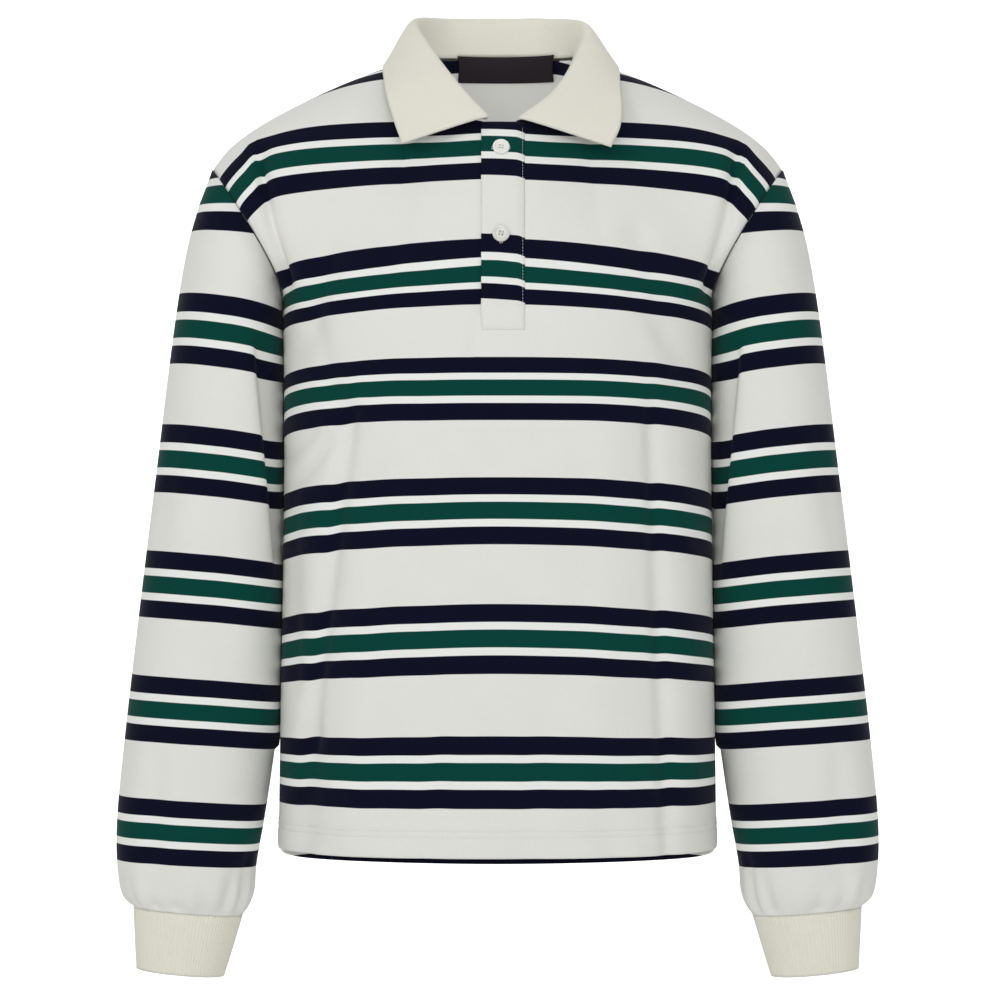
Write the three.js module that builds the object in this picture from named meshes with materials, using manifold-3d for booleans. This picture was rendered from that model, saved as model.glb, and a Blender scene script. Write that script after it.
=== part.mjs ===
// A long-sleeved knitted shirt with a folded collar and a buttoned neck, filled out as when worn.
// Millimetres, +Z up, front towards -Y. The origin is the middle of the neck, level with
// the neck ends of the shoulder seams.
import * as THREE from 'three';
import { mergeVertices } from 'three/addons/utils/BufferGeometryUtils.js';
import Module from 'manifold-3d';

// Cloth
const wall = 1.6;
const ribWall = 2.2;
const hemWall = 2.8;
const seamGap = 0.3;
const layerGap = 0.6;

// Body
const hemHeight = -655;
const underarmHeight = -205;
const hemDepth = 24;
const backDip = 26.5;
const backDipWidth = 181;
const backDipShape = 0.32;
const squareness = 2.35;
const bodySections = [
  { z: hemHeight, halfWidth: 181.5, front: 115, back: 108 },
  { z: -540, halfWidth: 180, front: 113, back: 104 },
  { z: -420, halfWidth: 178, front: 112, back: 101 },
  { z: -310, halfWidth: 177, front: 114, back: 106 },
  { z: underarmHeight, halfWidth: 178, front: 113, back: 111 },
];

// Neck and shoulders
const neckSide = new THREE.Vector3(66, 8, 0);
const frontNeck = new THREE.Vector3(0, -72, -62);
const backNeck = new THREE.Vector3(0, 62, 4.5);
const shoulderTip = new THREE.Vector3(237, 0, -94);
const shoulderPoints = [
  neckSide,
  new THREE.Vector3(106, 6, -13),
  new THREE.Vector3(150, 4, -32),
  new THREE.Vector3(192, 2, -54),
  new THREE.Vector3(220, 0, -74),
  shoulderTip,
];
const armholeNormal = new THREE.Vector3(0.883, 0, -0.469).normalize();

// Sleeves: the inner and outer ends of each section, and its half depth front to back
const sleeveCentreY = 0;
const sleeveSquareness = 2.2;
const sleeveSections = [
  { innerX: 211.5, innerZ: -712, outerX: 302.5, outerZ: -704.5, depth: 33 },
  { innerX: 203, innerZ: -694, outerX: 312, outerZ: -692, depth: 44 },
  { innerX: 200, innerZ: -668, outerX: 316, outerZ: -664, depth: 49 },
  { innerX: 194, innerZ: -634, outerX: 315.5, outerZ: -628, depth: 52 },
  { innerX: 187, innerZ: -588, outerX: 311, outerZ: -580, depth: 53 },
  { innerX: 181, innerZ: -540, outerX: 305.5, outerZ: -530, depth: 53 },
  { innerX: 180, innerZ: -480, outerX: 298, outerZ: -466, depth: 52 },
  { innerX: 180, innerZ: -420, outerX: 290, outerZ: -400, depth: 52 },
  { innerX: 180, innerZ: -360, outerX: 281.5, outerZ: -332, depth: 53 },
  { innerX: 180, innerZ: -310, outerX: 273, outerZ: -262, depth: 55 },
  { innerX: 180, innerZ: -264, outerX: 264.5, outerZ: -200, depth: 57 },
  { innerX: 179.8, innerZ: -232, outerX: 256.5, outerZ: -156, depth: 58 },
  { innerX: 179.4, innerZ: -214, outerX: 247, outerZ: -122, depth: 57 },
];
const gatherCount = 7;
const gatherDepth = 2.2;
const gatherHeight = 34;

// Cuffs
const cuffBottom = { innerX: 227, innerZ: -763, outerX: 300, outerZ: -756, depth: 30 };

// Collar: the seam, the fold and the free edge, from the middle of the back to the front end
const collarLeft = [
  { foldX: 0, foldY: 63, foldZ: 38, edgeX: 0, edgeY: 84, edgeZ: -21 },
  { foldX: 42, foldY: 52, foldZ: 37, edgeX: 54, edgeY: 66, edgeZ: -17 },
  { foldX: 69, foldY: 12, foldZ: 31, edgeX: 90, edgeY: 8, edgeZ: -4.5 },
  { foldX: 58, foldY: -29, foldZ: 6, edgeX: 91.5, edgeY: -46, edgeZ: -31 },
  { foldX: 35, foldY: -61, foldZ: -28, edgeX: 84, edgeY: -75, edgeZ: -61 },
  { foldX: 9, foldY: -80, foldZ: -59, edgeX: 77, edgeY: -90, edgeZ: -81 },
];
const collarRight = [
  collarLeft[0],
  { foldX: 42, foldY: 52, foldZ: 37, edgeX: 54, edgeY: 66, edgeZ: -17 },
  { foldX: 73, foldY: 9, foldZ: 27, edgeX: 94, edgeY: 4, edgeZ: -5 },
  { foldX: 66, foldY: -27, foldZ: -4, edgeX: 100, edgeY: -46, edgeZ: -33 },
  { foldX: 47, foldY: -58, foldZ: -36, edgeX: 100, edgeY: -76, edgeZ: -63 },
  { foldX: 18.5, foldY: -78, foldZ: -60, edgeX: 91.5, edgeY: -92, edgeZ: -84 },
];
const collarEnds = { left: 0.955, right: 0.885 };
const collarLift = 1.9;
const collarInset = 1.6;
const collarRoll = 13;

// Neck opening, buttons and label
const slit = { left: -9, right: 17, bottom: -226 };
const placket = { left: -13, right: 22, bottom: -232, top: -62.6 };
const buttonRadius = 7;
const buttonThickness = 2.6;
const buttonHeights = { button_top: -84, button_second: -155 };
const buttonX = 2.8;
const label = { left: -37, right: 52, top: 6.8, bottom: -13.5, inset: 5.6, bulge: 1.6, wall: 1 };

// Large folds: where each runs, from top to bottom, how wide it is and how deep; a ridge is negative
const frontFolds = [
  { topX: -196, topZ: -84, bottomX: -175, bottomZ: -192, width: 13, depth: 8 },
  { topX: 198, topZ: -84, bottomX: 176, bottomZ: -196, width: 13, depth: 8 },
  { topX: -163, topZ: -300, bottomX: -166, bottomZ: -420, width: 16, depth: 3.5 },
  { topX: -128, topZ: -330, bottomX: -140, bottomZ: -470, width: 20, depth: 3 },
  { topX: -75, topZ: -180, bottomX: -70, bottomZ: -470, width: 22, depth: -2 },
  { topX: -150, topZ: -500, bottomX: -142, bottomZ: -655, width: 18, depth: 4 },
  { topX: 126, topZ: -180, bottomX: 137, bottomZ: -655, width: 15, depth: 3.5 },
  { topX: 92, topZ: -300, bottomX: 84, bottomZ: -600, width: 24, depth: -2 },
];
const backFolds = [
  { topX: -192, topZ: -90, bottomX: -174, bottomZ: -196, width: 13, depth: 7 },
  { topX: 193, topZ: -90, bottomX: 174, bottomZ: -192, width: 13, depth: 7 },
  { topX: -96, topZ: -240, bottomX: -112, bottomZ: -560, width: 22, depth: 4 },
  { topX: 70, topZ: -300, bottomX: 96, bottomZ: -655, width: 22, depth: 4.5 },
  { topX: -20, topZ: -350, bottomX: -34, bottomZ: -640, width: 26, depth: 3 },
  { topX: 148, topZ: -240, bottomX: 150, bottomZ: -480, width: 18, depth: 3.5 },
];
const sleeveFolds = [
  { turn: 0.14, top: -250, bottom: -560, width: 0.07, depth: 6 },
  { turn: 0.3, top: -560, bottom: -720, width: 0.05, depth: 4 },
  { turn: 0.66, top: -240, bottom: -420, width: 0.07, depth: 5 },
  { turn: 0.86, top: -420, bottom: -640, width: 0.07, depth: 5 },
  { turn: 0.58, top: -600, bottom: -720, width: 0.05, depth: 3 },
];

// Mesh density
const halfColumns = 14;
const neckColumns = 5;
const bodyRows = 10;
const armRows = 14;
const sleeveRows = 20;
const cuffRows = 3;
const collarColumns = 26;

const up = new THREE.Vector3(0, 0, 1);
const wasm = await Module();
wasm.setup();

function vector(x, y, z) {
  return new THREE.Vector3(x, y, z);
}

function range(count, make) {
  return Array.from({ length: count }, (unused, index) => make(index));
}

function smooth(low, high, value) {
  return THREE.MathUtils.smoothstep(value, low, high);
}

// A table's columns at any place along it, through its rows
function rowAt(table, fraction) {
  const place = THREE.MathUtils.clamp(fraction, 0, 1) * (table.length - 1);
  const index = Math.min(Math.floor(place), table.length - 2);
  const t = place - index;
  const row = {};
  for (const name of Object.keys(table[0])) {
    const b = table[index][name];
    const c = table[index + 1][name];
    const a = index > 0 ? table[index - 1][name] : 2 * b - c;
    const d = index < table.length - 2 ? table[index + 2][name] : 2 * c - b;
    row[name] = b + 0.5 * t * (c - a + t * (2 * a - 5 * b + 4 * c - d + t * (3 * (b - c) + d - a)));
  }
  return row;
}

// The body's sections are not evenly spaced in height, so the place in the table is found by height
function sectionAt(z) {
  let index = 0;
  while (index < bodySections.length - 2 && bodySections[index + 1].z < z) {
    index += 1;
  }
  const low = bodySections[index].z;
  const high = bodySections[index + 1].z;
  return rowAt(bodySections, (index + (z - low) / (high - low)) / (bodySections.length - 1));
}

// Points spaced evenly by length along a fine line of points
function resample(line, fractions) {
  const lengths = [0];
  for (let index = 1; index < line.length; index += 1) {
    lengths.push(lengths[index - 1] + line[index].distanceTo(line[index - 1]));
  }
  const total = lengths[lengths.length - 1];
  return fractions.map((fraction) => {
    let index = 1;
    while (index < line.length - 1 && lengths[index] < fraction * total) {
      index += 1;
    }
    const t = (fraction * total - lengths[index - 1]) / (lengths[index] - lengths[index - 1]);
    return line[index - 1].clone().lerp(line[index], t);
  });
}

// A quarter of a squared oval, from the middle of the panel to the side seam
function quarterSection(halfWidth, depth, z, fractions) {
  const line = range(61, (index) => {
    const angle = (index / 60) * Math.PI / 2;
    const across = halfWidth * Math.sin(angle) ** (2 / squareness);
    const along = depth * Math.cos(angle) ** (2 / squareness);
    return vector(across, along, z);
  });
  return resample(line, fractions);
}

function hermite(start, startPull, end, endPull, t) {
  const squared = t * t;
  const cubed = squared * t;
  return start.clone().multiplyScalar(2 * cubed - 3 * squared + 1)
    .addScaledVector(startPull, cubed - 2 * squared + t)
    .addScaledVector(end, 3 * squared - 2 * cubed)
    .addScaledVector(endPull, cubed - squared);
}

// The neck curve and the shoulder seam of one panel, from the middle outwards
function topEdge(middle, side) {
  const neck = new THREE.CubicBezierCurve3(
    middle,
    vector(38, middle.y, middle.z),
    vector(neckSide.x, neckSide.y + side * 32, middle.z < 0 ? -27 : 1),
    neckSide,
  ).getPoints(40);
  const shoulder = new THREE.CatmullRomCurve3(shoulderPoints).getPoints(60);
  const neckPart = resample(neck, range(neckColumns, (index) => index / neckColumns));
  const shoulderColumns = halfColumns - neckColumns;
  return [...neckPart, ...resample(shoulder, range(shoulderColumns + 1, (index) => index / shoulderColumns))];
}

// How the cloth leaves the row at the underarm, and how it reaches the neck and shoulder
function pulls(u, side) {
  const atArmhole = smooth(0.5, 1, u) ** 1.6;
  const start = vector(0, side * 3, side < 0 ? 165 : 205).lerp(vector(-20, side * 225, 62), atArmhole);
  const neckShare = neckColumns / halfColumns;
  const atShoulder = smooth(0, neckShare * 1.3, u);
  const end = vector(0, -side * 70, 95).lerp(vector(0, -side * 190, 46), atShoulder);
  end.lerp(vector(22, -side * 235, 24), smooth(neckShare, 1, u));
  return { start, end };
}

// Half of a panel as rows of points: side is -1 for the front and 1 for the back
function halfPanel(side) {
  const fractions = range(halfColumns + 1, (index) => index / halfColumns);
  const rows = [];
  for (let row = 0; row <= bodyRows; row += 1) {
    const share = row / bodyRows;
    const z = THREE.MathUtils.lerp(hemHeight, underarmHeight, share);
    const section = sectionAt(z);
    const depth = side < 0 ? section.front : section.back;
    const points = quarterSection(section.halfWidth, side * depth, z, fractions);
    if (side > 0) {
      points.forEach((point) => {
        const fromMiddle = Math.min(point.x / backDipWidth, 1);
        const dip = Math.max(Math.cos(fromMiddle * Math.PI / 2), 0) ** backDipShape;
        point.z -= backDip * (1 - share) ** 3 * dip;
      });
    }
    rows.push(points);
  }
  const chest = rows[bodyRows];
  const top = topEdge(side < 0 ? frontNeck : backNeck, side);
  for (let row = 1; row <= armRows; row += 1) {
    rows.push(chest.map((point, column) => {
      const { start, end } = pulls(fractions[column], side);
      return hermite(point, start, top[column], end, row / armRows);
    }));
  }
  return rows;
}

// The whole panel, its columns running so that rows going up give a face that points out
function wholePanel(side) {
  return halfPanel(side).map((row) => {
    const mirrored = row.slice(1).reverse().map((point) => vector(-point.x, point.y, point.z));
    const across = [...mirrored, ...row];
    return side < 0 ? across : across.reverse();
  });
}

// Unit normals of a grid of points; a closed grid joins its last column to its first
function gridNormals(grid, closed = false) {
  const rowCount = grid.length;
  const columnCount = grid[0].length;
  return grid.map((row, r) => row.map((point, c) => {
    const before = closed ? (c + columnCount - 1) % columnCount : Math.max(c - 1, 0);
    const after = closed ? (c + 1) % columnCount : Math.min(c + 1, columnCount - 1);
    const across = row[after].clone().sub(row[before]);
    const along = grid[Math.min(r + 1, rowCount - 1)][c].clone().sub(grid[Math.max(r - 1, 0)][c]);
    return across.cross(along).normalize();
  }));
}

// How strongly a fold acts at a point of a panel, from its distance to the fold's line
function foldStrength(fold, point) {
  const runX = fold.bottomX - fold.topX;
  const runZ = fold.bottomZ - fold.topZ;
  const share = ((point.x - fold.topX) * runX + (point.z - fold.topZ) * runZ) / (runX ** 2 + runZ ** 2);
  const place = THREE.MathUtils.clamp(share, 0, 1);
  const away = Math.hypot(point.x - fold.topX - place * runX, point.z - fold.topZ - place * runZ);
  return Math.exp(-((away / fold.width) ** 2));
}

function creasePanel(grid, folds) {
  const normals = gridNormals(grid);
  const lastRow = grid.length - 1;
  const lastColumn = grid[0].length - 1;
  grid.forEach((row, r) => row.forEach((point, c) => {
    const fromEdge = Math.min(c, lastColumn - c, lastRow - r) / 2;
    const depth = folds.reduce((sum, fold) => sum + fold.depth * foldStrength(fold, point), 0);
    point.addScaledVector(normals[r][c], -depth * Math.min(fromEdge, 1));
  }));
}

// At a seam, both walls end on the same line, so neither runs into the other
function shareNormals(first, second, across) {
  const a = first.dot(across);
  const b = second.dot(across);
  if (b > a) {
    first.addScaledVector(across, (b - a) / 2);
    second.addScaledVector(across, (a - b) / 2);
  }
}

// A closed wall: the grid's points outside, and the same points moved in by the thickness
function wallGeometry(grid, normals, thickness, closed = false) {
  const rowCount = grid.length;
  const columnCount = grid[0].length;
  const inside = rowCount * columnCount;
  const positions = [];
  grid.forEach((row) => row.forEach((point) => positions.push(...point.toArray())));
  grid.forEach((row, r) => row.forEach((point, c) => {
    const deep = typeof thickness === 'function' ? thickness(r) : thickness;
    positions.push(...point.clone().addScaledVector(normals[r][c], -deep).toArray());
  }));
  const indices = [];
  const quad = (a, b, c, d) => indices.push(a, b, c, a, c, d);
  const at = (r, c) => r * columnCount + (c % columnCount);
  const steps = closed ? columnCount : columnCount - 1;
  for (let r = 0; r < rowCount - 1; r += 1) {
    for (let c = 0; c < steps; c += 1) {
      quad(at(r, c), at(r, c + 1), at(r + 1, c + 1), at(r + 1, c));
      quad(inside + at(r, c), inside + at(r + 1, c), inside + at(r + 1, c + 1), inside + at(r, c + 1));
    }
    if (!closed) {
      const end = columnCount - 1;
      quad(at(r, 0), at(r + 1, 0), inside + at(r + 1, 0), inside + at(r, 0));
      quad(at(r, end), inside + at(r, end), inside + at(r + 1, end), at(r + 1, end));
    }
  }
  const top = rowCount - 1;
  for (let c = 0; c < steps; c += 1) {
    quad(at(0, c), inside + at(0, c), inside + at(0, c + 1), at(0, c + 1));
    quad(at(top, c), at(top, c + 1), inside + at(top, c + 1), inside + at(top, c));
  }
  const geometry = new THREE.BufferGeometry();
  geometry.setAttribute('position', new THREE.Float32BufferAttribute(positions, 3));
  geometry.setIndex(indices);
  return geometry;
}

function mirrorGeometry(geometry) {
  const mirrored = geometry.clone().scale(-1, 1, 1);
  const index = mirrored.index.array;
  for (let i = 0; i < index.length; i += 3) {
    [index[i], index[i + 1]] = [index[i + 1], index[i]];
  }
  return mirrored;
}

function toSolid(geometry) {
  const plain = geometry.clone();
  plain.deleteAttribute('normal');
  plain.deleteAttribute('uv');
  const merged = mergeVertices(plain, 1e-4);
  return new wasm.Manifold(new wasm.Mesh({
    numProp: 3,
    vertProperties: new Float32Array(merged.attributes.position.array),
    triVerts: new Uint32Array(merged.index.array),
  }));
}

function fromSolid(solid) {
  const mesh = solid.getMesh();
  const geometry = new THREE.BufferGeometry();
  geometry.setAttribute('position', new THREE.BufferAttribute(mesh.vertProperties, 3));
  geometry.setIndex(new THREE.BufferAttribute(mesh.triVerts, 1));
  return geometry;
}

// Where a panel's points lie at a given width and height, seen from the front
function depthAt(grid, x, z) {
  for (let r = 0; r < grid.length - 1; r += 1) {
    for (let c = 0; c < grid[0].length - 1; c += 1) {
      const corners = [grid[r][c], grid[r][c + 1], grid[r + 1][c + 1], grid[r + 1][c]];
      for (const [a, b, d] of [[0, 1, 2], [0, 2, 3]]) {
        const flat = [a, b, d].map((corner) => vector(corners[corner].x, corners[corner].z, 0));
        const share = THREE.Triangle.getBarycoord(vector(x, z, 0), ...flat, vector(0, 0, 0));
        if (share && Math.min(share.x, share.y, share.z) >= -1e-6) {
          return share.x * corners[a].y + share.y * corners[b].y + share.z * corners[d].y;
        }
      }
    }
  }
  throw new Error(`no cloth at ${x}, ${z}`);
}

function patch(grid, xs, zs) {
  return zs.map((z) => xs.map((x) => vector(x, depthAt(grid, x, z), z)));
}

function moveOut(grid, distance) {
  const normals = gridNormals(grid);
  return grid.map((row, r) => row.map((point, c) => point.clone().addScaledVector(normals[r][c], distance)));
}

function spread(low, high, count) {
  return range(count + 1, (index) => THREE.MathUtils.lerp(low, high, index / count));
}

// One ring of the sleeve, from the inner side round the front, the outer side and the back
function sleeveRing(section) {
  return range(2 * armRows, (index) => {
    const angle = (index / armRows) * Math.PI;
    const cosine = Math.cos(angle);
    const sine = Math.sin(angle);
    const along = Math.sign(cosine) * Math.abs(cosine) ** (2 / sleeveSquareness);
    const deep = Math.sign(sine) * Math.abs(sine) ** (2 / sleeveSquareness);
    return vector(
      (section.innerX + section.outerX) / 2 + along * (section.innerX - section.outerX) / 2,
      sleeveCentreY - deep * section.depth,
      (section.innerZ + section.outerZ) / 2 + along * (section.innerZ - section.outerZ) / 2,
    );
  });
}

// The sleeve's rows from the cuff seam up, ending on the armhole
function sleeveGrid(frontGrid, backGrid) {
  const rows = range(sleeveRows, (row) => sleeveRing(rowAt(sleeveSections, row / (sleeveRows - 1))));
  const lastColumn = 2 * halfColumns;
  const frontEdge = range(armRows + 1, (row) => frontGrid[bodyRows + row][lastColumn]);
  const backEdge = range(armRows - 1, (row) => backGrid[bodyRows + armRows - 1 - row][0]);
  const armhole = [...frontEdge, ...backEdge].map((point) => {
    return vector(point.x, point.y, point.z).addScaledVector(armholeNormal, seamGap);
  });
  rows.push(armhole);
  const normals = gridNormals(rows, true);
  rows.slice(0, -2).forEach((row, r) => row.forEach((point, c) => {
    const turn = c / row.length;
    const fromCuff = (point.z - sleeveSections[0].outerZ) / gatherHeight;
    const gather = gatherDepth * Math.cos(turn * gatherCount * 2 * Math.PI) * Math.exp(-fromCuff * fromCuff);
    const fold = sleeveFolds.reduce((sum, { turn: middle, top, bottom, width, depth }) => {
      const around = Math.exp(-(((turn - middle) / width) ** 2));
      const window = smooth(bottom - 20, bottom + 40, point.z) * (1 - smooth(top - 40, top + 20, point.z));
      return sum + depth * around * window;
    }, 0);
    point.addScaledVector(normals[r][c], (r > 0 ? -fold : 0) + (r > 0 ? gather : 0));
  }));
  return rows;
}

function material(color, roughness) {
  return new THREE.MeshStandardMaterial({ color, roughness, metalness: 0, side: THREE.DoubleSide });
}

const cloth = material(0xe4e4de, 0.9);
const rib = material(0xdedccf, 0.9);
const plastic = material(0xf0efe9, 0.35);
const plum = material(0x2a242a, 0.85);

const group = new THREE.Group();

function addPiece(name, geometry, finish) {
  const mesh = new THREE.Mesh(geometry, finish);
  mesh.name = name;
  group.add(mesh);
  return mesh;
}

// Panels and sleeves, with the walls' ends shared at each seam
const frontGrid = wholePanel(-1);
const backGrid = wholePanel(1);
creasePanel(frontGrid, frontFolds);
creasePanel(backGrid, backFolds);
const frontNormals = gridNormals(frontGrid);
const backNormals = gridNormals(backGrid);
const sleevePoints = sleeveGrid(frontGrid, backGrid);
const sleeveNormals = gridNormals(sleevePoints, true);

const lastColumn = 2 * halfColumns;
const topRow = bodyRows + armRows;
const backwards = vector(0, 1, 0);

function joinSeams(frontColumn, backColumn, inward) {
  for (let row = 0; row <= bodyRows; row += 1) {
    shareNormals(frontNormals[row][frontColumn], backNormals[row][backColumn], backwards);
  }
  for (let step = 0; step < halfColumns - neckColumns + 1; step += 1) {
    const frontNormal = frontNormals[topRow][frontColumn + inward * step];
    const backNormal = backNormals[topRow][backColumn - inward * step];
    shareNormals(frontNormal, backNormal, backwards);
    frontGrid[topRow][frontColumn + inward * step].y -= seamGap / 2;
    backGrid[topRow][backColumn - inward * step].y += seamGap / 2;
  }
  for (let row = 0; row <= bodyRows; row += 1) {
    frontGrid[row][frontColumn].y -= seamGap / 2;
    backGrid[row][backColumn].y += seamGap / 2;
  }
}
joinSeams(lastColumn, 0, -1);
joinSeams(0, lastColumn, 1);

const armholeNormals = sleeveNormals[sleeveRows];
const backArmhole = range(armRows - 1, (row) => backNormals[bodyRows + armRows - 1 - row][0]);
const frontArmhole = range(armRows + 1, (row) => frontNormals[bodyRows + row][lastColumn]);
[...frontArmhole, ...backArmhole].forEach((bodyNormal, index) => {
  shareNormals(bodyNormal, armholeNormals[index], armholeNormal);
});
backNormals[topRow][0].copy(frontArmhole[armRows]);
backNormals[bodyRows][0].copy(frontArmhole[0]);
for (let row = bodyRows; row <= topRow; row += 1) {
  const mirror = vector(-1, 1, 1);
  frontNormals[row][0].copy(frontNormals[row][lastColumn]).multiply(mirror);
  backNormals[row][lastColumn].copy(backNormals[row][0]).multiply(mirror);
}

const hemRows = Math.round(hemDepth / ((underarmHeight - hemHeight) / bodyRows));
const panelWall = (row) => (row <= hemRows - 1 ? hemWall : wall);
const slitBox = new THREE.BoxGeometry(slit.right - slit.left, 80, 200 + frontNeck.z - slit.bottom);
const slitMiddle = slit.bottom + (200 + frontNeck.z - slit.bottom) / 2;
slitBox.translate((slit.left + slit.right) / 2, frontNeck.y - 40, slitMiddle);
const frontWhole = toSolid(wallGeometry(frontGrid, frontNormals, panelWall));
addPiece('front', fromSolid(frontWhole.subtract(toSolid(slitBox))), cloth);
addPiece('back', wallGeometry(backGrid, backNormals, panelWall), cloth);

const sleeveGeometry = wallGeometry(sleevePoints, sleeveNormals, wall, true);
addPiece('sleeve_right', sleeveGeometry, cloth);
addPiece('sleeve_left', mirrorGeometry(sleeveGeometry), cloth);

// Cuffs: straight ribbed bands that start just under the sleeves
function cuffGeometry() {
  const top = { ...sleeveSections[0] };
  top.innerZ -= seamGap;
  top.outerZ -= seamGap;
  const rings = range(cuffRows + 1, (row) => sleeveRing(rowAt([cuffBottom, top], row / cuffRows)));
  return wallGeometry(rings, gridNormals(rings, true), ribWall, true);
}
addPiece('cuff_right', cuffGeometry(), rib);
addPiece('cuff_left', mirrorGeometry(cuffGeometry()), rib);

// Collar: from the neck seam up the stand, over the fold and down to the free edge
function neckPoint(share) {
  const side = Math.abs(share) < 0.42 ? 1 : -1;
  const part = side > 0 ? Math.abs(share) / 0.42 : 1 - (Math.abs(share) - 0.42) / 0.58;
  const middle = side > 0 ? backNeck : frontNeck;
  const curve = new THREE.CubicBezierCurve3(
    middle,
    vector(38, middle.y, middle.z),
    vector(neckSide.x, neckSide.y + side * 32, side < 0 ? -27 : 1),
    neckSide,
  );
  const point = curve.getPointAt(part);
  point.x *= Math.sign(share) || 1;
  return point;
}

function collarRow(share) {
  const reach = Math.abs(share);
  const sign = Math.sign(share) || 1;
  const station = rowAt(sign < 0 ? collarLeft : collarRight, reach);
  const seam = neckPoint(share * (sign < 0 ? collarEnds.left : collarEnds.right));
  seam.addScaledVector(up, collarLift);
  seam.addScaledVector(vector(seam.x, seam.y, 0).normalize(), -collarInset);
  const fold = vector(sign * station.foldX, station.foldY, station.foldZ);
  const edge = vector(sign * station.edgeX, station.edgeY, station.edgeZ);
  const outward = edge.clone().sub(seam).setZ(0).normalize();
  const rise = fold.z - seam.z;
  const stand = range(4, (index) => {
    const over = outward.clone().multiplyScalar(collarRoll);
    return hermite(seam, vector(0, 0, rise * 1.2), fold, over, index / 4);
  });
  const fallen = edge.clone().sub(fold);
  const fall = range(7, (index) => {
    const start = outward.clone().multiplyScalar(collarRoll * 1.6);
    return hermite(fold, start, edge, fallen.clone().multiplyScalar(0.9), index / 6);
  });
  return [...stand, ...fall];
}
const collarGrid = range(collarColumns + 1, (index) => collarRow(1 - 2 * index / collarColumns));
const collarRows = range(collarGrid[0].length, (row) => collarGrid.map((station) => station[row]));
addPiece('collar', wallGeometry(collarRows, gridNormals(collarRows), ribWall), rib);

// Placket strips: the one that shows lies on the front, the other behind the slit
const stripXs = spread(placket.left, placket.right, 3);
const stripZs = spread(placket.bottom, placket.top, 10);
const stripBase = patch(frontGrid, stripXs, stripZs);
const overGrid = moveOut(stripBase, layerGap + wall);
addPiece('placket_over', wallGeometry(overGrid, gridNormals(overGrid), wall), cloth);
const underGrid = moveOut(stripBase, -wall - layerGap);
addPiece('placket_under', wallGeometry(underGrid, gridNormals(underGrid), wall), cloth);

// Buttons: turned discs with a raised rim and four holes
function buttonGeometry() {
  const profile = [
    [0, 0], [buttonRadius - 1, 0], [buttonRadius, 0.9], [buttonRadius - 0.2, buttonThickness - 0.3],
    [buttonRadius - 0.9, buttonThickness], [buttonRadius - 1.9, buttonThickness - 0.2],
    [buttonRadius - 2.7, buttonThickness - 0.8], [0, buttonThickness - 0.9],
  ];
  const turned = new THREE.LatheGeometry(profile.map(([x, y]) => new THREE.Vector2(x, y)), 24);
  let solid = toSolid(turned);
  for (const [x, z] of [[-1.2, -1.2], [1.2, -1.2], [1.2, 1.2], [-1.2, 1.2]]) {
    const hole = new THREE.CylinderGeometry(0.75, 0.75, 10, 8).translate(x, 0, z);
    solid = solid.subtract(toSolid(hole));
  }
  return fromSolid(solid);
}
const overNormals = gridNormals(overGrid);
for (const [name, height] of Object.entries(buttonHeights)) {
  const button = addPiece(name, buttonGeometry(), plastic);
  const row = Math.round((height - placket.bottom) / (placket.top - placket.bottom) * 10);
  const normal = overNormals[row][1].clone().add(overNormals[row][2]).normalize();
  const base = vector(buttonX, depthAt(overGrid, buttonX, height), height);
  button.position.copy(base.addScaledVector(normal, layerGap));
  button.quaternion.setFromUnitVectors(vector(0, 1, 0), normal);
}

// Label: its top edge is sewn over the collar seam, and it hangs inside the back
const backInside = backGrid.map((row, r) => row.map((point, c) => {
  return point.clone().addScaledVector(backNormals[r][c], -wall - seamGap);
}));
const seamLine = range(101, (index) => neckPoint(-0.4 + 0.008 * index));
const labelColumns = spread(label.right, label.left, 8).map((x) => {
  const after = seamLine.findIndex((point) => point.x > x);
  const inward = seamLine[after].clone().setZ(0).normalize().multiplyScalar(-label.inset);
  const top = vector(x + inward.x, seamLine[after].y + inward.y, label.top);
  const bottom = vector(x + inward.x, depthAt(backInside, x + inward.x, label.bottom), label.bottom);
  const middle = bottom.clone().lerp(top, 0.5).addScaledVector(inward, label.bulge / label.inset);
  return [bottom, middle, top];
});
const labelGrid = range(3, (row) => labelColumns.map((column) => column[row]));
addPiece('label', wallGeometry(labelGrid, gridNormals(labelGrid), label.wall), plum);

export default group;
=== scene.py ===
import math
import bpy
import bmesh
import numpy as np
from mathutils import Matrix, Vector


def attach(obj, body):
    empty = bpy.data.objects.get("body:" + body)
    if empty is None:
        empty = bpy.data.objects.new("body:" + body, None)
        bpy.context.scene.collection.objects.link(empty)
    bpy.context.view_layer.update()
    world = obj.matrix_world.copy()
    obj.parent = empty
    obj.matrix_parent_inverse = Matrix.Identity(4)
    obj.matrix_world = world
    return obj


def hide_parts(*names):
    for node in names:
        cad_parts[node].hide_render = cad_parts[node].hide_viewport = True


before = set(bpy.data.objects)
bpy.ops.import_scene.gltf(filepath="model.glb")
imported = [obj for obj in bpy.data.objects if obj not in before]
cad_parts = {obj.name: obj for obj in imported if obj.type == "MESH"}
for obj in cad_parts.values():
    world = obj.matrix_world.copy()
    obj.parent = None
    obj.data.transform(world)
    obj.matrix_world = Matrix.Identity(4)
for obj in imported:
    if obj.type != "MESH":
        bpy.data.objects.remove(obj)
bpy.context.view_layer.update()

mm = 0.001


def table(names, rows):
    return [dict(zip(names.split(), row)) for row in rows]


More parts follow.
